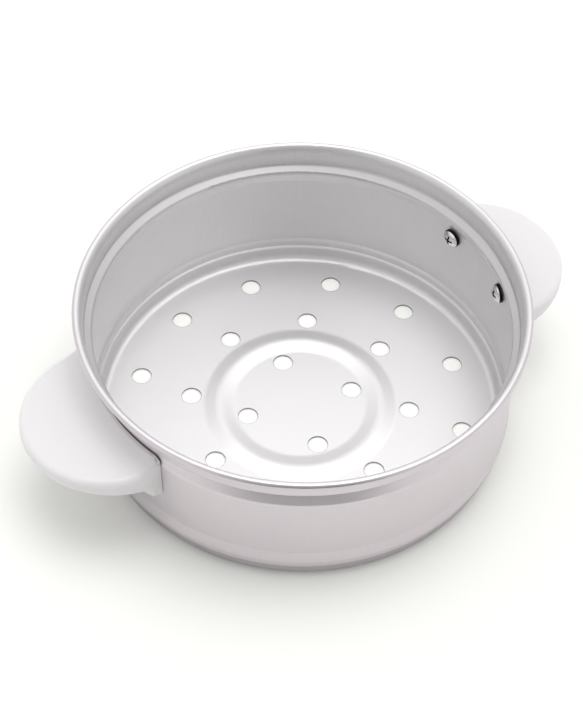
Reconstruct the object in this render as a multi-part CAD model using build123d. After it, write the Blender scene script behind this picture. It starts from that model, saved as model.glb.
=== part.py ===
from build123d import *
from math import asin, cos, degrees, radians, sin, sqrt, tan
import os

# A steaming tier: a drawn aluminium pan with a perforated floor, a rolled rim and a collar that
# takes the next tier, and two white moulded ears, each held by two screws from inside the wall.
# Millimetres. Z is the pan's axis with 0 at the surface it stands on, +X points at the right ear.

# Pan: sheet, and radii of its outer faces
sheet = 0.8
rim_radius = 98.0
bead_radius = 1.6                 # tube of the rolled rim
wall_radius = 93.6
flare_radius = 94.4               # lower edge of the shallow flare
shoulder_radius = 93.3
spigot_radius = 92.2              # enters the collar of the tier below
ledge_radius = 90.0               # clear opening inside the ledge's nose

# Pan: heights, from the base up and from the rim down
rim_height = 72.3
spigot_height = 7.4
step_rise = 0.8                   # spigot to shoulder
shoulder_height = 2.9
flare_step = 1.4                  # shoulder to flare edge
flare_height = 6.5
collar_inset = 4.2                # rim's outer edge in to the collar's inner face
collar_depth = 11.0               # rim's top to the ledge's outer corner
ledge_fall = 2.6                  # ledge, from its outer corner to its nose
groove_height = 6.4               # nose to the top of the straight wall

# Pan: bend radii at the middle of the sheet, and the rim's curl
floor_bend = 3.8
step_bend = 0.6
flare_bend = 0.9
wall_bend = 3.0
groove_bend = 3.0
nose_bend = 1.2
ledge_bend = 1.6
lip_bend = 5.0                    # collar to the rim's outward lean
lip_lean = 40.0                   # degrees off upright where the rim's tube begins
curl_sweep = 250.0                # degrees of tube that the rim is rolled through

# Floor: perforations on evenly spaced rings, and one raised ring rib
hole_diameter = 9.0
ring_pitch = 25.0
ring_turns = {1: 0.0, 2: 22.5, 3: 0.0}   # degrees that each ring is turned against the first
holes_per_ring = 4                # on the first ring, twice that on the second, and so on
floor_turn = -10.6                # degrees from the right ear to the first hole
rib_radius = 37.2
rib_height = 1.0
rib_crest = 2.0
rib_width = 13.4
rib_bend = 9.0

# Ears: a disc-shaped plate on a curved saddle, open underneath
ear_radius = 37.3
ear_reach = 130.0                 # pan axis to the ear's tip
ear_skin = 2.6                    # top skin and side skirt
ear_edge = 3.0                    # rounding of the plate's upper edge
ear_low_edge = 1.0                # rounding of the skirt's and the saddle's lower edges
tip_depth = 5.2                   # plate's depth at its tip
root_depth = 10.8                 # plate's depth where it meets the saddle
saddle_height = 28.5
saddle_thickness = 3.7
saddle_corner = 4.5
saddle_lip = 1.2                  # thickness at the saddle's upper edge
saddle_below_rim = 16.5
saddle_gap = 0.1                  # saddle to wall
blend_radius = 10.0               # plate to saddle
blend_rise = 5.3                  # plate's top up to the saddle's upper edge
rib_thickness = 2.0               # stiffening ribs under the plate
outer_rib_spread = 20.0           # side ribs, measured from the middle one
boss_radius = 4.0
boss_floor = 1.6                  # plastic left beyond the screw's tip

# Screws and washers
screw_radius = 1.95
screw_length = 8.0
screw_point = 1.0
screw_inset = 17.6                # from the ear's widest point in to the screw
screw_below_plate = 3.2
head_radius = 4.2
head_height = 2.4
head_edge = 0.8                   # straight side of the head, under its dome
recess_span = 4.6
recess_width = 1.0
recess_depth = 1.5
washer_radius = 4.5
washer_thickness = 0.8
screw_clearance = 0.2             # radial, in the wall and in the washer
thread_clearance = 0.05           # radial and past the point, in the ear's boss
seat_gap = 0.04                   # washer to wall, and head to washer

wall_inside = wall_radius - sheet
saddle_inside = wall_radius + saddle_gap
saddle_outside = saddle_inside + saddle_thickness
saddle_top = rim_height - saddle_below_rim
saddle_base = saddle_top - saddle_height
plate_top = saddle_top - blend_rise
ear_centre = ear_reach - ear_radius
screw_height = plate_top - screw_below_plate
washer_seat = sqrt(wall_inside**2 - washer_radius**2) - seat_gap   # flat washer in a round wall
head_seat = washer_seat - washer_thickness - seat_gap
screw_tip = head_seat + screw_length
screw_half_angle = degrees(asin((ear_radius - screw_inset) / wall_radius))   # off the ear's middle
screw_angles = {
    "right_front": -screw_half_angle,
    "right_rear": screw_half_angle,
    "left_front": 180 + screw_half_angle,
    "left_rear": 180 - screw_half_angle,
}


def pan_middle_line():
    """The middle of the sheet from the axis out to the tip of the rolled rim."""
    half = sheet / 2
    shoulder_base = spigot_height + step_rise
    shoulder_top = shoulder_base + shoulder_height
    flare_base = shoulder_top + flare_step
    curl_radius = bead_radius - half
    curl_x = rim_radius - bead_radius
    curl_z = rim_height - bead_radius
    collar_x = rim_radius - collar_inset + half
    curl_start_x = curl_x - curl_radius * cos(radians(lip_lean))
    curl_start_z = curl_z + curl_radius * sin(radians(lip_lean))
    lip_z = curl_start_z - (curl_start_x - collar_x) / tan(radians(lip_lean))
    ledge_z = rim_height - collar_depth
    nose_z = ledge_z - ledge_fall
    crest = half + rib_height
    stations = [                  # radius, height, bend radius
        (rib_radius - rib_width / 2, half, rib_bend),
        (rib_radius - rib_crest / 2, crest, rib_bend),
        (rib_radius + rib_crest / 2, crest, rib_bend),
        (rib_radius + rib_width / 2, half, rib_bend),
        (spigot_radius - half, half, floor_bend),
        (spigot_radius - half, spigot_height, step_bend),
        (shoulder_radius - half, shoulder_base, step_bend),
        (shoulder_radius - half, shoulder_top, step_bend),
        (flare_radius - half, flare_base, flare_bend),
        (wall_radius - half, flare_base + flare_height, wall_bend),
        (wall_radius - half, nose_z - groove_height, groove_bend),
        (ledge_radius + half, nose_z, nose_bend),
        (collar_x, ledge_z, ledge_bend),
        (collar_x, lip_z, lip_bend),
    ]
    points = [(0, half)] + [(x, z) for x, z, _ in stations] + [(curl_start_x, curl_start_z)]
    path = FilletPolyline(*points, radius=[bend for _, _, bend in stations])
    curl = CenterArc((curl_x, curl_z), curl_radius, 180 - lip_lean, -curl_sweep)
    return Wire([*path.edges(), *curl.edges()])


def pan_section():
    """The sheet's cut face: its middle line thickened to both sides."""
    middle = pan_middle_line()
    inside = middle.offset_2d(sheet / 2, side=Side.LEFT, closed=False)     # runs back to the axis
    outside = middle.offset_2d(sheet / 2, side=Side.RIGHT, closed=False)
    ends = [Edge.make_line(inside @ 1, outside @ 0), Edge.make_line(inside @ 0, outside @ 1)]
    return Face(Wire([*inside.edges(), *outside.edges(), *ends]))


def facing_axis(angle, radius, height):
    """A frame at a screw's place, its Z pointing at the pan's axis and its Y pointing up."""
    outward = Vector(cos(radians(angle)), sin(radians(angle)), 0)
    origin = outward * radius + Vector(0, 0, height)
    return Plane(origin=origin, x_dir=outward.cross(Vector(0, 0, 1)), z_dir=outward * -1)


def rod(radius, length):
    """A round bar that starts at the origin and runs along +Z."""
    return Cylinder(radius, length, align=(Align.CENTER, Align.CENTER, Align.MIN))


def steamer_pan():
    """The drawn pan with its floor perforations and the four screw holes in its wall."""
    pan = revolve(Plane.XZ * pan_section(), Axis.Z)
    hole = Cylinder(hole_diameter / 2, 4 * sheet)
    for ring, turn in ring_turns.items():
        count = ring * holes_per_ring
        places = PolarLocations(ring * ring_pitch, count, start_angle=floor_turn + turn)
        pan -= [place * hole for place in places]
    for angle in screw_angles.values():
        wall_hole = Cylinder(screw_radius + screw_clearance, 6 * sheet)
        pan -= facing_axis(angle, wall_radius - sheet / 2, screw_height) * wall_hole
    return pan


def height_of(edge):
    return edge.center().Z


def arcs(body, radius):
    """A body's round edges of one radius."""
    circles = body.edges().filter_by(GeomType.CIRCLE)
    return [edge for edge in circles if abs(edge.radius - radius) < 0.01]


def ear_envelope():
    """The ear as one full body: a profile turned about the pan's axis, cut to a round outline."""
    lip = saddle_inside + saddle_lip
    blend_centre = plate_top + blend_radius
    foot = lip + sqrt(blend_radius**2 - (blend_centre - saddle_top) ** 2)
    beyond = ear_reach + ear_skin
    with BuildSketch() as profile:
        with BuildLine():
            Polyline(
                (lip, saddle_top),
                (saddle_inside, saddle_top),
                (saddle_inside, saddle_base),
                (saddle_outside, saddle_base),
                (saddle_outside, plate_top - root_depth),
                (ear_reach, plate_top - tip_depth),
                (beyond, plate_top - tip_depth),
                (beyond, plate_top),
                (foot, plate_top),
            )
            RadiusArc((foot, plate_top), (lip, saddle_top), blend_radius)
        make_face()
    turned = Rot(0, 0, -45) * revolve(Plane.XZ * profile.sketch, Axis.Z, revolution_arc=90)
    outline = Pos(ear_centre, 0, 0) * Cylinder(ear_radius, 2 * rim_height)
    with BuildSketch() as front:
        with Locations((0, (saddle_top + saddle_base) / 2)):
            RectangleRounded(2 * ear_radius, saddle_height, saddle_corner)
    body = turned & outline & extrude(Plane.YZ * front.sketch, beyond)
    body = fillet(max(arcs(body, ear_radius), key=height_of), ear_edge)
    skirt = [edge for edge in body.edges() if edge.center().X > ear_reach - ear_edge]
    saddle_foot = min(arcs(body, saddle_outside), key=height_of)
    return fillet([min(skirt, key=height_of), saddle_foot], ear_low_edge)


def ear_hollow():
    """The space under the ear's skin, less its stiffening ribs and its two screw bosses."""
    roof = plate_top - ear_skin
    floor = saddle_base - ear_skin
    hollow = Pos(ear_centre, 0, floor) * rod(ear_radius - ear_skin, roof - floor)
    hollow -= Cylinder(saddle_outside, 3 * rim_height)
    for spread in (-outer_rib_spread, 0, outer_rib_spread):
        hollow -= Pos(ear_centre, spread, 0) * Box(2 * ear_radius, rib_thickness, 3 * rim_height)
    boss_end = screw_tip + boss_floor
    for angle in (-screw_half_angle, screw_half_angle):
        hollow -= facing_axis(angle, boss_end, screw_height) * rod(boss_radius, boss_end - wall_radius)
    return hollow


def ear():
    """The right ear. The left one is the same moulding turned half round the pan."""
    body = ear_envelope() - ear_hollow()
    pilot_end = screw_tip + thread_clearance
    pilot = rod(screw_radius + thread_clearance, pilot_end - wall_inside)
    for angle in (-screw_half_angle, screw_half_angle):
        body -= facing_axis(angle, pilot_end, screw_height) * pilot
    return body


def screw():
    """A domed cross-recess screw: its head above Z 0, its pointed shank below."""
    rise = head_height - head_edge
    dome = (head_radius**2 + rise**2) / (2 * rise)
    with BuildSketch() as profile:
        with BuildLine():
            Polyline(
                (0, head_height),
                (0, -screw_length),
                (screw_radius - screw_point / 2, -screw_length),
                (screw_radius, screw_point - screw_length),
                (screw_radius, 0),
                (head_radius, 0),
                (head_radius, head_edge),
            )
            RadiusArc((head_radius, head_edge), (0, head_height), -dome)
        make_face()
    body = revolve(Plane.XZ * profile.sketch, Axis.Z)
    slot = Box(recess_span, recess_width, recess_depth, align=(Align.CENTER, Align.CENTER, Align.MAX))
    return body - [Pos(0, 0, head_height) * Rot(0, 0, turn) * slot for turn in (0, 90)]


def washer():
    """A plain washer that stands on Z 0."""
    return rod(washer_radius, washer_thickness) - rod(screw_radius + screw_clearance, washer_thickness)


def all_parts():
    """Every separate piece in its place, under its node's name."""
    parts = {"steamer_pan": steamer_pan()}
    right_ear = ear()
    parts["right_handle"] = right_ear
    parts["left_handle"] = Rot(0, 0, 180) * right_ear
    for place, angle in screw_angles.items():
        parts[place + "_screw"] = facing_axis(angle, head_seat, screw_height) * screw()
        parts[place + "_washer"] = facing_axis(angle, washer_seat, screw_height) * washer()
    return parts


os.makedirs("parts", exist_ok=True)
for node, shape in all_parts().items():
    export_step(shape, "parts/" + node + ".step")
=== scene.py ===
# Steaming tier: a drawn aluminium pan with two white moulded ears
# Metres, +Z up along the pan's axis, +X towards the right ear
import bpy
import math
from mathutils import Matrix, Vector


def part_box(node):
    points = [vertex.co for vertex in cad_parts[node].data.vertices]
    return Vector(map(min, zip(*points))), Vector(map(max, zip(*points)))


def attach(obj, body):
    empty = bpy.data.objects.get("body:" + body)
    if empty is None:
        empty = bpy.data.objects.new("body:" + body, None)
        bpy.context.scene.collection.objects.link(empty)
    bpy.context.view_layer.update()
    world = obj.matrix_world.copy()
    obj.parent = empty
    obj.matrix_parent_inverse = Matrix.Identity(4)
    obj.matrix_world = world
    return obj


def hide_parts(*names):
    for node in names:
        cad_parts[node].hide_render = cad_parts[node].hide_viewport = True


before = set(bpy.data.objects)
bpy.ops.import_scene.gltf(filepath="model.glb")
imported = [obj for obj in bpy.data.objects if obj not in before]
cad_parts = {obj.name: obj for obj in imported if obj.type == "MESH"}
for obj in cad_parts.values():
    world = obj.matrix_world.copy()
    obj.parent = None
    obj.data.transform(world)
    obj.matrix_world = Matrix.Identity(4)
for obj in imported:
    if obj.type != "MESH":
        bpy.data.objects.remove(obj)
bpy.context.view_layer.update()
print("frame loaded:", len(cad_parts), "pieces")


# camera

cameraSetup = {
    "place": (-0.23426, -0.39929, 0.58856),
    "turn": (39.709, -0.743, -28.969),     # degrees
    "focal": 1630.8,                       # pixels
    "longSide": 720,                       # pixels along the sensor's width
    "sensor": 36.0,                        # millimetres
    "clip": (0.05, 20),
}


def addCamera():
    data = bpy.data.cameras.new("viewCamera")
    data.sensor_width = cameraSetup["sensor"]
    data.lens = cameraSetup["focal"] * cameraSetup["sensor"] / cameraSetup["longSide"]
    data.clip_start, data.clip_end = cameraSetup["clip"]
    camera = bpy.data.objects.new("viewCamera", data)
    camera.location = cameraSetup["place"]
    camera.rotation_euler = [math.radians(a) for a in cameraSetup["turn"]]
    bpy.context.scene.collection.objects.link(camera)
    bpy.context.scene.camera = camera


addCamera()
print("camera placed")


# node helpers

def newNode(tree, kind, settings=None, **inputs):
    node = tree.nodes.new(kind)
    for name, value in (settings or {}).items():
        setattr(node, name, value)
    for name, value in inputs.items():
        node.inputs[name.replace("_", " ")].default_value = value
    return node


def join(tree, source, output, target, socket):
    tree.links.new(source.outputs[output], target.inputs[socket])


def doMath(tree, operation, first, second=None):
    node = newNode(tree, "ShaderNodeMath", {"operation": operation})
    for slot, value in enumerate((first, second)):
        if isinstance(value, bpy.types.NodeSocket):
            tree.links.new(value, node.inputs[slot])
        elif value is not None:
            node.inputs[slot].default_value = value
    return node.outputs[0]


def product(tree, first, second):
    return doMath(tree, "MULTIPLY", first, second)


def rangeOf(tree, value, low, high, kind="SMOOTHSTEP"):
    node = newNode(tree, "ShaderNodeMapRange", {"interpolation_type": kind})
    node.inputs["From Min"].default_value = low
    node.inputs["From Max"].default_value = high
    tree.links.new(value, node.inputs["Value"])
    return node.outputs[0]


def splitPlace(tree, coords):
    parts = newNode(tree, "ShaderNodeSeparateXYZ")
    join(tree, coords, "Object", parts, 0)
    return parts


# the part of a vector that is level with the ground
def flatten(tree, vector):
    flat = newNode(tree, "ShaderNodeVectorMath", {"operation": "MULTIPLY"})
    tree.links.new(vector, flat.inputs[0])
    flat.inputs[1].default_value = (1, 1, 0)
    return flat


def lengthOf(tree, node):
    length = newNode(tree, "ShaderNodeVectorMath", {"operation": "LENGTH"})
    join(tree, node, 0, length, 0)
    return length.outputs["Value"]


def directionOf(tree, node):
    direction = newNode(tree, "ShaderNodeVectorMath", {"operation": "NORMALIZE"})
    join(tree, node, 0, direction, 0)
    return direction


def offAxis(tree, parts):
    squares = doMath(tree, "ADD", doMath(tree, "POWER", parts.outputs["X"], 2),
                     doMath(tree, "POWER", parts.outputs["Y"], 2))
    return doMath(tree, "SQRT", squares)


def newMaterial(name):
    material = bpy.data.materials.new(name)
    material.use_nodes = True
    tree = material.node_tree
    return material, tree, tree.nodes["Principled BSDF"]


def newGroup(name, inputs, outputs):
    group = bpy.data.node_groups.new(name, "ShaderNodeTree")
    for label, default in inputs.items():
        socket = group.interface.new_socket(label, in_out="INPUT", socket_type="NodeSocketFloat")
        socket.default_value = default
    for label, kind in outputs.items():
        group.interface.new_socket(label, in_out="OUTPUT", socket_type=kind)
    return group, group.nodes.new("NodeGroupInput"), group.nodes.new("NodeGroupOutput")


def placeGroup(tree, group, **values):
    node = newNode(tree, "ShaderNodeGroup")
    node.node_tree = group
    for name, value in values.items():
        node.inputs[name].default_value = value
    return node


def mixColour(tree, share, first, second):
    mix = newNode(tree, "ShaderNodeMix", {"data_type": "RGBA"})
    tree.links.new(share, mix.inputs["Factor"])
    for slot, value in ((6, first), (7, second)):            # the node's two colour sockets
        if isinstance(value, bpy.types.NodeSocket):
            tree.links.new(value, mix.inputs[slot])
        else:
            mix.inputs[slot].default_value = value
    return mix.outputs[2]


# fine relief from a height, on the shader's normal
def addBump(tree, shader, height, finish):
    bump = newNode(tree, "ShaderNodeBump", Strength=finish["bump"], Distance=finish["bumpDepth"])
    tree.links.new(height, bump.inputs["Height"])
    join(tree, bump, 0, shader, "Normal")


# marks left by turning and drawing: fine lines round the axis

axisGap = 0.0001                           # keeps the patterns whole on the axis itself


def makeTurnedMarks():
    group, given, result = newGroup(
        "turnedMarks", {"Lines": 2500.0, "Streaks": 6.0}, {"Marks": "NodeSocketFloat"}
    )
    parts = splitPlace(group, newNode(group, "ShaderNodeTexCoord"))
    radius = doMath(group, "MAXIMUM", offAxis(group, parts), axisGap)
    along = doMath(group, "ADD", radius, parts.outputs["Z"])
    place = newNode(group, "ShaderNodeCombineXYZ")
    group.links.new(product(group, along, given.outputs["Lines"]), place.inputs["X"])
    for axis, socket in (("X", "Y"), ("Y", "Z")):
        share = doMath(group, "DIVIDE", parts.outputs[axis], radius)
        group.links.new(product(group, share, given.outputs["Streaks"]), place.inputs[socket])
    noise = newNode(group, "ShaderNodeTexNoise", Scale=1.0, Detail=3.0, Roughness=0.6)
    join(group, place, 0, noise, "Vector")
    join(group, noise, 0, result, "Marks")
    return group


# fine speckle of a satin finish

def makeSatinGrain():
    group, given, result = newGroup(
        "satinGrain", {"Scale": 900.0}, {"Grain": "NodeSocketFloat", "Cloud": "NodeSocketFloat"}
    )
    coords = newNode(group, "ShaderNodeTexCoord")
    fine = newNode(group, "ShaderNodeTexNoise", Detail=4.0, Roughness=0.65)
    broad = newNode(group, "ShaderNodeTexNoise", Scale=22.0, Detail=3.0, Roughness=0.5)
    join(group, coords, "Object", fine, "Vector")
    join(group, coords, "Object", broad, "Vector")
    join(group, given, "Scale", fine, "Scale")
    join(group, fine, 0, result, "Grain")
    join(group, broad, 0, result, "Cloud")
    return group


# the walls' outer skin: faces that look away from the axis, beyond the floor

skinTurn = (0.1, 0.6)                      # how far a face looks outwards, from none to all


def makeOuterSkin():
    group, given, result = newGroup("outerSkin", {"Beyond": 0.088}, {"Share": "NodeSocketFloat"})
    coords = newNode(group, "ShaderNodeTexCoord")
    flat = flatten(group, coords.outputs["Object"])
    facing = newNode(group, "ShaderNodeVectorMath", {"operation": "DOT_PRODUCT"})
    join(group, coords, "Normal", facing, 0)
    join(group, directionOf(group, flat), 0, facing, 1)
    far = doMath(group, "GREATER_THAN", lengthOf(group, flat), given.outputs["Beyond"])
    turned = rangeOf(group, facing.outputs["Value"], *skinTurn)
    group.links.new(product(group, turned, far), result.inputs["Share"])
    return group


# painted shade along the edges of the floor's punched holes, which lie on rings round the axis

perforations = {
    "rings": ((0.025, 4, -10.6),           # radius, how many, the first one's turn in degrees
              (0.050, 8, 11.9),
              (0.075, 12, -10.6)),
    "edge": (0.00445, 0.00480),            # off a hole's middle, from dark to clean
    "farOff": 1.0,                         # a distance that no hole is at
}


def makeHoleEdgeShade():
    group, given, result = newGroup("holeEdgeShade", {"Dark": 1.0}, {"Share": "NodeSocketFloat"})
    parts = splitPlace(group, newNode(group, "ShaderNodeTexCoord"))
    turn = doMath(group, "ARCTAN2", parts.outputs["Y"], parts.outputs["X"])
    radius = offAxis(group, parts)
    nearest = perforations["farOff"]
    for ringRadius, count, first in perforations["rings"]:
        step = 2 * math.pi / count
        off = doMath(group, "SUBTRACT", turn, math.radians(first))
        whole = doMath(group, "ROUND", doMath(group, "DIVIDE", off, step))
        off = doMath(group, "SUBTRACT", off, product(group, whole, step))
        reach = product(group, radius, doMath(group, "COSINE", off))
        along = doMath(group, "SUBTRACT", reach, ringRadius)
        across = product(group, radius, doMath(group, "SINE", off))
        away = doMath(group, "SQRT", doMath(group, "ADD", doMath(group, "POWER", along, 2),
                                            doMath(group, "POWER", across, 2)))
        nearest = doMath(group, "MINIMUM", away, nearest)
    dark, clean = perforations["edge"]
    edge = rangeOf(group, nearest, clean, dark)
    group.links.new(product(group, edge, given.outputs["Dark"]), result.inputs["Share"])
    return group


# fine upright streaks that drawing leaves on the walls

streakTone = (0.35, 0.75)                  # noise from clean metal to a full streak


def makeDrawnStreaks():
    group, given, result = newGroup(
        "drawnStreaks",
        {"Fine": 210.0, "Tall": 130.0, "Beyond": 0.0895},
        {"Share": "NodeSocketFloat"},
    )
    parts = splitPlace(group, newNode(group, "ShaderNodeTexCoord"))
    radius = doMath(group, "MAXIMUM", offAxis(group, parts), axisGap)
    place = newNode(group, "ShaderNodeCombineXYZ")
    for axis in ("X", "Y"):
        share = doMath(group, "DIVIDE", parts.outputs[axis], radius)
        group.links.new(product(group, share, given.outputs["Fine"]), place.inputs[axis])
    group.links.new(product(group, parts.outputs["Z"], given.outputs["Tall"]), place.inputs["Z"])
    noise = newNode(group, "ShaderNodeTexNoise", Scale=1.0, Detail=2.0, Roughness=0.7)
    join(group, place, 0, noise, "Vector")
    streak = rangeOf(group, noise.outputs[0], *streakTone, kind="LINEAR")
    wall = doMath(group, "GREATER_THAN", radius, given.outputs["Beyond"])
    group.links.new(product(group, streak, wall), result.inputs["Share"])
    return group


# painted shade: darker metal on the pan's foot outside, below its step, and on the ledge inside

creases = {
    "foot": (0.0095, 0.0080, 0.35),        # heights from clean to shaded, and how dark the painted shade
    "ledge": (0.0586, 0.0592, 0.27),
    "collar": (0.0622, 0.0616),            # where the ledge's painted shade ends above
    "inside": 0.0895,                      # radius beyond which the inside is wall
}


def makeCreaseShade():
    group, given, result = newGroup("creaseShade", {"Outer": 0.0}, {"Share": "NodeSocketFloat"})
    coords = newNode(group, "ShaderNodeTexCoord")
    parts = splitPlace(group, coords)
    radius = lengthOf(group, flatten(group, coords.outputs["Object"]))
    shares = {}
    for part in ("foot", "ledge", "collar"):
        shares[part] = rangeOf(group, parts.outputs["Z"], *creases[part][:2])
    foot = product(group, shares["foot"], given.outputs["Outer"])
    foot = product(group, foot, creases["foot"][2])
    inner = doMath(group, "SUBTRACT", 1.0, given.outputs["Outer"])
    wall = doMath(group, "GREATER_THAN", radius, creases["inside"])
    ledge = product(group, shares["ledge"], shares["collar"])
    ledge = product(group, ledge, product(group, inner, wall))
    ledge = product(group, ledge, creases["ledge"][2])
    group.links.new(doMath(group, "ADD", foot, ledge), result.inputs["Share"])
    return group


# a screw head's dark places: its cross recess and its straight side

screwHead = {
    "height": 0.0473,                      # its axis above the ground
    "top": 0.08941,                        # its crown's distance from the pan's axis
    "dome": 0.00631,                       # radius of its dome
    "recess": 0.0026,                      # reach of the recess off the axis
    "sunk": (0.00003, 0.00025),            # depth under the dome, from bright to dark
    "side": (0.00150, 0.00172),            # depth under the crown where the straight side begins
}


def makeScrewShade():
    group, given, result = newGroup("screwShade", {"Turn": 0.0}, {"Share": "NodeSocketFloat"})
    coords = newNode(group, "ShaderNodeTexCoord")
    fromAxis = newNode(group, "ShaderNodeVectorMath", {"operation": "SUBTRACT"})
    join(group, coords, "Object", fromAxis, 0)
    fromAxis.inputs[1].default_value = (0, 0, screwHead["height"])
    outward = newNode(group, "ShaderNodeCombineXYZ")
    group.links.new(doMath(group, "COSINE", given.outputs["Turn"]), outward.inputs["X"])
    group.links.new(doMath(group, "SINE", given.outputs["Turn"]), outward.inputs["Y"])
    along = newNode(group, "ShaderNodeVectorMath", {"operation": "DOT_PRODUCT"})
    join(group, fromAxis, 0, along, 0)
    join(group, outward, 0, along, 1)
    cross = newNode(group, "ShaderNodeVectorMath", {"operation": "CROSS_PRODUCT"})
    join(group, fromAxis, 0, cross, 0)
    join(group, outward, 0, cross, 1)
    off = lengthOf(group, cross)
    depth = doMath(group, "SUBTRACT", along.outputs["Value"], screwHead["top"])
    left = doMath(group, "SUBTRACT", screwHead["dome"] ** 2, doMath(group, "POWER", off, 2))
    chord = doMath(group, "SQRT", doMath(group, "MAXIMUM", left, 0.0))
    below = doMath(group, "SUBTRACT", depth, doMath(group, "SUBTRACT", screwHead["dome"], chord))
    sunk = rangeOf(group, below, *screwHead["sunk"])
    recess = product(group, sunk, doMath(group, "LESS_THAN", off, screwHead["recess"]))
    side = rangeOf(group, depth, *screwHead["side"])
    group.links.new(doMath(group, "MAXIMUM", recess, side), result.inputs["Share"])
    return group


turnedMarks = makeTurnedMarks()
satinGrain = makeSatinGrain()
outerSkin = makeOuterSkin()
holeEdgeShade = makeHoleEdgeShade()
drawnStreaks = makeDrawnStreaks()
creaseShade = makeCreaseShade()
screwShade = makeScrewShade()


# drawn aluminium

aluminium = {
    "colour": (0.795, 0.782, 0.79, 1),
    # painted shade: the outer skin gets a darker copy of the sheet's colour, for the dimmer light
    # it reflects
    "outside": (0.665, 0.618, 0.650, 1),
    "edge": (0.16, 0.155, 0.16, 1),        # painted shade along the punched holes and in the creases, and the tone of the drawn streaks
    "holeDark": 0.85,                      # share of that painted shade at the holes' edges
    "roughness": (0.46, 0.56),
    "unevenness": (0.3, 0.7),              # marks and clouds, from least to most rough
    "marksShare": 0.6,                     # of the turned marks in that, the clouds have the rest
    "finer": 0.14,                         # how much less rough the outside is
    "lines": 2600.0,
    "streaks": 5.0,
    "streakDepth": 0.045,                  # share of the dark tone in the walls' upright streaks
    "grain": 1500.0,
    "grainShare": 0.5,                     # height of the grain against that of the lines
    "bump": 0.10,
    "bumpDepth": 0.00004,
}


def makeAluminium():
    material, tree, shader = newMaterial("drawnAluminium")
    shader.inputs["Metallic"].default_value = 1.0
    skin = placeGroup(tree, outerSkin)
    holes = placeGroup(tree, holeEdgeShade, Dark=aluminium["holeDark"])
    # the outer skin's darker tone is painted shade
    tint = mixColour(tree, skin.outputs["Share"], aluminium["colour"], aluminium["outside"])
    # painted shade round the holes' edges
    tint = mixColour(tree, holes.outputs["Share"], tint, aluminium["edge"])
    streaks = placeGroup(tree, drawnStreaks)
    faint = product(tree, streaks.outputs["Share"], aluminium["streakDepth"])
    tint = mixColour(tree, faint, tint, aluminium["edge"])
    # painted shade on the foot outside and on the ledge inside
    creaseShadeShare = placeGroup(tree, creaseShade)
    join(tree, skin, "Share", creaseShadeShare, "Outer")
    tint = mixColour(tree, creaseShadeShare.outputs["Share"], tint, aluminium["edge"])
    tree.links.new(tint, shader.inputs["Base Color"])
    marks = placeGroup(tree, turnedMarks, Lines=aluminium["lines"], Streaks=aluminium["streaks"])
    grain = placeGroup(tree, satinGrain, Scale=aluminium["grain"])
    share = aluminium["marksShare"]
    mixed = doMath(tree, "ADD", product(tree, marks.outputs["Marks"], share),
                   product(tree, grain.outputs["Cloud"], 1 - share))
    least, most = aluminium["roughness"]
    uneven = rangeOf(tree, mixed, *aluminium["unevenness"], kind="LINEAR")
    rough = doMath(tree, "ADD", product(tree, uneven, most - least), least)
    finer = product(tree, skin.outputs["Share"], aluminium["finer"])
    tree.links.new(doMath(tree, "SUBTRACT", rough, finer), shader.inputs["Roughness"])
    speckle = product(tree, grain.outputs["Grain"], aluminium["grainShare"])
    addBump(tree, shader, doMath(tree, "ADD", marks.outputs["Marks"], speckle), aluminium)
    return material


# white moulded plastic

plastic = {
    "colour": (0.785, 0.765, 0.778, 1),
    "roughness": 0.38,
    "grain": 700.0,
    "bump": 0.05,
    "bumpDepth": 0.00005,
}


def makePlastic():
    material, tree, shader = newMaterial("whitePlastic")
    shader.inputs["Base Color"].default_value = plastic["colour"]
    shader.inputs["Roughness"].default_value = plastic["roughness"]
    grain = placeGroup(tree, satinGrain, Scale=plastic["grain"])
    addBump(tree, shader, grain.outputs["Grain"], plastic)
    return material


# bright plated steel of the screws; near-black washers, painted shade round each head

steel = {
    "colour": (0.80, 0.79, 0.78, 1),
    "shade": (0.012, 0.012, 0.012, 1),     # in the recess and down the head's side
    # painted shade: the washers near-black, for the shade under and round each head
    "washer": (0.05, 0.05, 0.05, 1),
    "roughness": 0.16,
    "grain": 1800.0,
    "bump": 0.08,
    "bumpDepth": 0.00003,
}


def makeSteel(name, turn=None):
    material, tree, shader = newMaterial(name)
    shader.inputs["Metallic"].default_value = 1.0
    shader.inputs["Roughness"].default_value = steel["roughness"]
    if turn is None:
        # painted shade: the washers near-black
        shader.inputs["Base Color"].default_value = steel["washer"]
    else:
        shade = placeGroup(tree, screwShade, Turn=math.radians(turn))
        tint = mixColour(tree, shade.outputs["Share"], steel["colour"], steel["shade"])
        tree.links.new(tint, shader.inputs["Base Color"])
    grain = placeGroup(tree, satinGrain, Scale=steel["grain"])
    addBump(tree, shader, grain.outputs["Grain"], steel)
    return material


def dress(node, material):
    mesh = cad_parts[node].data
    mesh.materials.clear()
    mesh.materials.append(material)


# each screw's azimuth in degrees from +X
screwTurns = {
    "right_front": -12.15,
    "right_rear": 12.15,
    "left_front": 192.15,
    "left_rear": 167.85,
}

panMetal = makeAluminium()
earPlastic = makePlastic()
washerShade = makeSteel("washerShadeSteel")
dress("steamer_pan", panMetal)
for side in ("right", "left"):
    dress(side + "_handle", earPlastic)
for place, turn in screwTurns.items():
    dress(place + "_screw", makeSteel("screwSteel." + place, turn))
    dress(place + "_washer", washerShade)
print("materials made")


# ears: copies of the moulded handles, their saddles drawn in to the groove above them

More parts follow.
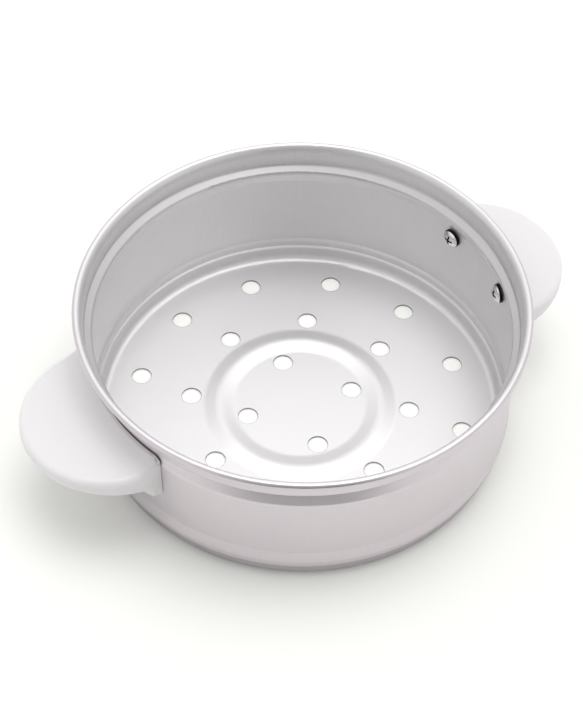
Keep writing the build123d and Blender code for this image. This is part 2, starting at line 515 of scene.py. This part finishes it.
ears = {
    "leanFrom": 0.0515,                    # height above which the wall falls away inwards
    "seam": 0.00070,                       # opening left along the saddle's upper edge
    "drawnUp": 0.0035,                     # how far the saddle's foot lies above the solid's
    "upperEnd": 0.0385,                    # height where that drawing up ends
    "corners": 0.0022,                     # further rise of the foot's two corners
    "cornersFrom": 0.027,                  # off the ear's middle
    "cuts": (0.0515, 0.0530, 0.0545, 0.0385, 0.0340, 0.0300),   # heights of added edges
    "smooth": 32,                          # degrees
    "merge": 0.000001,
    "probeFrom": 0.2,                      # off the axis, where a ray starts towards the wall
}


def wallRadius(height):
    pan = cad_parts["steamer_pan"]
    place = pan.ray_cast((ears["probeFrom"], 0.0, height), (-1, 0, 0))[1]
    return math.hypot(place.x, place.y)


def shapeEar(node, name):
    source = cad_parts[node]
    ear = bpy.data.objects.new(name, source.data.copy())
    bpy.context.scene.collection.objects.link(ear)
    bpy.ops.object.select_all(action="DESELECT")
    ear.select_set(True)
    bpy.context.view_layer.objects.active = ear
    bpy.ops.object.mode_set(mode="EDIT")
    bpy.ops.mesh.select_all(action="SELECT")
    bpy.ops.mesh.remove_doubles(threshold=ears["merge"])
    for height in ears["cuts"]:
        bpy.ops.mesh.select_all(action="SELECT")
        bpy.ops.mesh.bisect(plane_co=(0, 0, height), plane_no=(0, 0, 1))
    bpy.ops.object.mode_set(mode="OBJECT")
    start = wallRadius(ears["leanFrom"])
    low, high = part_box(node)
    for vertex in ear.data.vertices:
        x, y, z = vertex.co
        if z > ears["leanFrom"]:
            share = (z - ears["leanFrom"]) / (high[2] - ears["leanFrom"])
            shift = max(start - wallRadius(min(z, high[2])) - ears["seam"] * share, 0)
            radius = math.hypot(x, y)
            vertex.co.x = x * (radius - shift) / radius
            vertex.co.y = y * (radius - shift) / radius
        if z < ears["upperEnd"]:
            share = (ears["upperEnd"] - z) / (ears["upperEnd"] - low[2])
            corner = (abs(y) - ears["cornersFrom"]) / (high[1] - ears["cornersFrom"])
            corner = min(max(corner, 0), 1)
            vertex.co.z = z + share * (ears["drawnUp"] + ears["corners"] * corner ** 2)
    bpy.ops.object.shade_smooth_by_angle(angle=math.radians(ears["smooth"]))
    ear.data.materials.clear()
    ear.data.materials.append(earPlastic)
    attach(ear, "root")
    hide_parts(node)


for side in ("right", "left"):
    shapeEar(side + "_handle", side + "Ear")
print("ears shaped")


# floor, lights and surroundings

stageSetup = {
    "floorRadius": 0.42,
    "floorSides": 128,
    "floorColour": (0.92, 0.93, 0.895, 1),
    "floorGlow": 0.02,                     # for the camera and in reflections only
    "underGlow": 0.12,                     # painted light: further glow under the pan, seen through its holes, lifting its shadow there
    "underRadius": (0.080, 0.088),         # where that glow ends, from full to nothing
}
roomTone = {
    "bright": 0.94,                        # level of most of the room
    "dark": 0.21,                          # and of its darker side
    "darkSide": -117,                      # azimuth of that side, degrees from +X
    "darkEdge": (25, 39),                  # degrees off it, from fully dark to bright
    "horizon": (8, 16),                    # rises over which that side comes up from black
    "sideBand": (14, 24, 36, 48),          # rises over which a lighter band there comes and goes
    "bandLevel": 0.42,
    "softBox": (-5, 83, 3.7),              # azimuth, rise and added level of the box overhead
    "boxEdge": (6, 25),                    # degrees off its middle, from full to nothing
    "seen": 1.0,                           # white, where the camera sees the room itself
}


def addFloor():
    bpy.ops.object.select_all(action="DESELECT")
    bpy.ops.mesh.primitive_circle_add(
        vertices=stageSetup["floorSides"], radius=stageSetup["floorRadius"], fill_type="NGON"
    )
    floor = bpy.context.object
    floor.name = "paleFloor"
    material, tree, shader = newMaterial("palePaper")
    shader.inputs["Base Color"].default_value = stageSetup["floorColour"]
    shader.inputs["Roughness"].default_value = 1.0
    shader.inputs["Specular IOR Level"].default_value = 0.0
    path = newNode(tree, "ShaderNodeLightPath")
    seen = doMath(tree, "MAXIMUM", path.outputs["Is Camera Ray"], path.outputs["Is Glossy Ray"])
    seen = doMath(tree, "MAXIMUM", seen, path.outputs["Is Transmission Ray"])
    shader.inputs["Emission Color"].default_value = (1, 1, 1, 1)
    coords = newNode(tree, "ShaderNodeTexCoord")
    radius = lengthOf(tree, flatten(tree, coords.outputs["Object"]))
    near, far = stageSetup["underRadius"]
    # painted light under the pan, lifting its shadow
    under = product(tree, rangeOf(tree, radius, far, near), stageSetup["underGlow"])
    glow = product(tree, seen, doMath(tree, "ADD", under, stageSetup["floorGlow"]))
    tree.links.new(glow, shader.inputs["Emission Strength"])
    floor.data.materials.append(material)


def pointing(azimuth, rise):
    turn, up = math.radians(azimuth), math.radians(rise)
    return (math.cos(turn) * math.cos(up), math.sin(turn) * math.cos(up), math.sin(up))


# 1 round a direction, falling to nothing past its edge
def aroundDirection(tree, vector, azimuth, rise, edge):
    near = newNode(tree, "ShaderNodeVectorMath", {"operation": "DOT_PRODUCT"})
    tree.links.new(vector, near.inputs[0])
    near.inputs[1].default_value = pointing(azimuth, rise)
    full, none = (math.cos(math.radians(a)) for a in edge)
    return rangeOf(tree, near.outputs["Value"], none, full)


# how high on the sky's unit sphere each rise in degrees lies
def heightsOf(rises):
    return [math.sin(math.radians(a)) for a in rises]


def makeWorld():
    world = bpy.data.worlds.new("paleRoom")
    bpy.context.scene.world = world
    world.use_nodes = True
    tree = world.node_tree
    background = tree.nodes["Background"]
    background.inputs["Color"].default_value = (1, 1, 1, 1)
    ray = newNode(tree, "ShaderNodeTexCoord").outputs["Generated"]
    parts = newNode(tree, "ShaderNodeSeparateXYZ")
    tree.links.new(ray, parts.inputs[0])
    up = parts.outputs["Z"]
    level = directionOf(tree, flatten(tree, ray)).outputs[0]
    shade = aroundDirection(tree, level, roomTone["darkSide"], 0, roomTone["darkEdge"])
    low, high = heightsOf(roomTone["horizon"])
    darkTone = product(tree, rangeOf(tree, up, low, high), roomTone["dark"])
    first, full, last, gone = heightsOf(roomTone["sideBand"])
    band = product(tree, rangeOf(tree, up, first, full), rangeOf(tree, up, gone, last))
    darkTone = doMath(tree, "ADD", darkTone, product(tree, band, roomTone["bandLevel"]))
    lost = doMath(tree, "SUBTRACT", roomTone["bright"], darkTone)
    walls = doMath(tree, "SUBTRACT", roomTone["bright"], product(tree, shade, lost))
    azimuth, rise, strength = roomTone["softBox"]
    box = aroundDirection(tree, ray, azimuth, rise, roomTone["boxEdge"])
    tone = doMath(tree, "ADD", walls, product(tree, box, strength))
    path = newNode(tree, "ShaderNodeLightPath")
    rest = doMath(tree, "SUBTRACT", roomTone["seen"], tone)
    shown = product(tree, path.outputs["Is Camera Ray"], rest)
    tree.links.new(doMath(tree, "ADD", tone, shown), background.inputs["Strength"])


addFloor()
makeWorld()
bpy.context.scene.view_settings.view_transform = "Standard"
print("stage lit")
